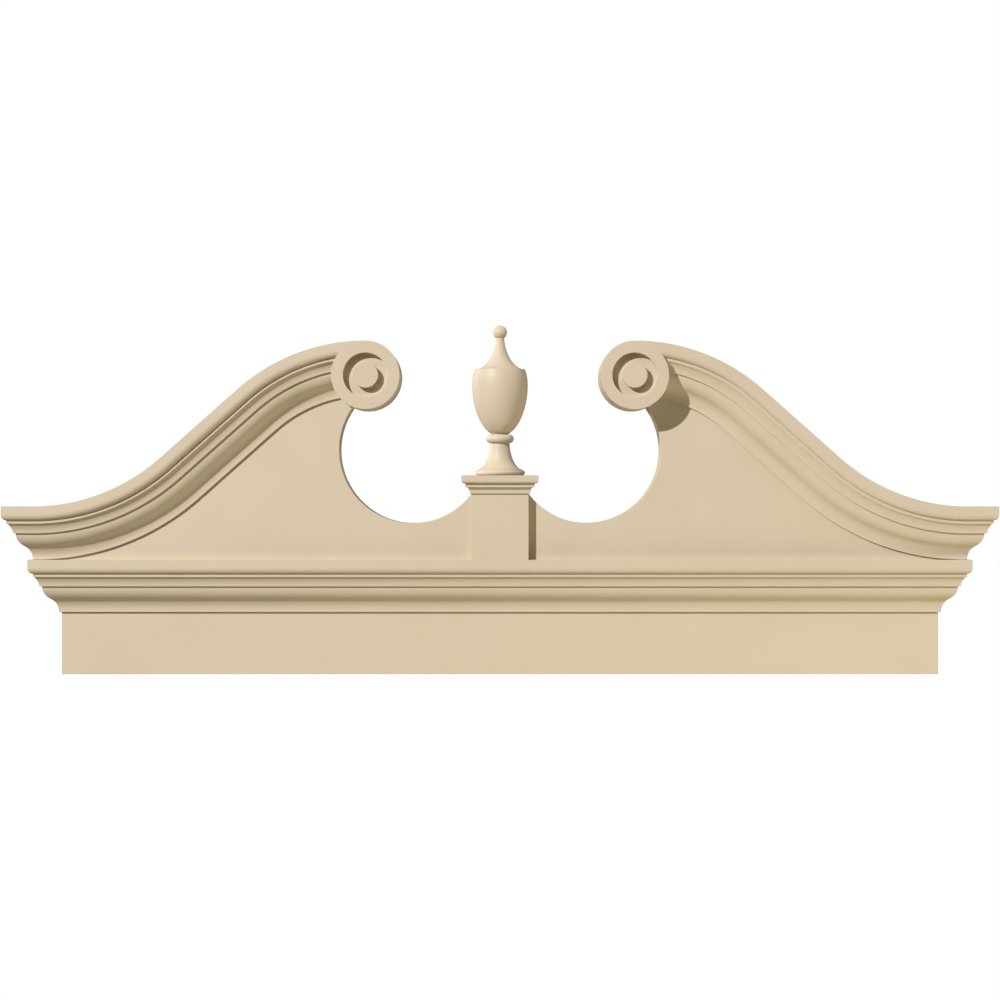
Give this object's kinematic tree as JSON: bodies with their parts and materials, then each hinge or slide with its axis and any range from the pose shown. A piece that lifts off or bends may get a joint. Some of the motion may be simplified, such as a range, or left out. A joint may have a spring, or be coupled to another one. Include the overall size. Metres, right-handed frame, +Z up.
{
  "type": "rams head pediment",
  "caption": "Broken-scroll door pediment with a level crown moulding, raking mouldings ending in round scrolls, and a turned urn on a pedestal.",
  "frame": {"origin": "middle of the frieze board's back, on the wall plane", "axes": "+Z up, +Y into the wall, the moulded front faces -Y, +X to the right seen from the front"},
  "size_m": [1.5322, 0.1001, 0.5444],
  "materials": {
    "tan_primer": "factory-primed cellular PVC millwork, smooth and matt, warm tan"
  },
  "bodies": {
    "root": {"frieze_board": "tan_primer", "cornice_moulding": "tan_primer", "tympanum_board": "tan_primer", "raking_moulding_left": "tan_primer", "raking_moulding_right": "tan_primer", "pedestal_block": "tan_primer", "pedestal_cap": "tan_primer", "urn_finial": "tan_primer"}
  },
  "joints": []
}
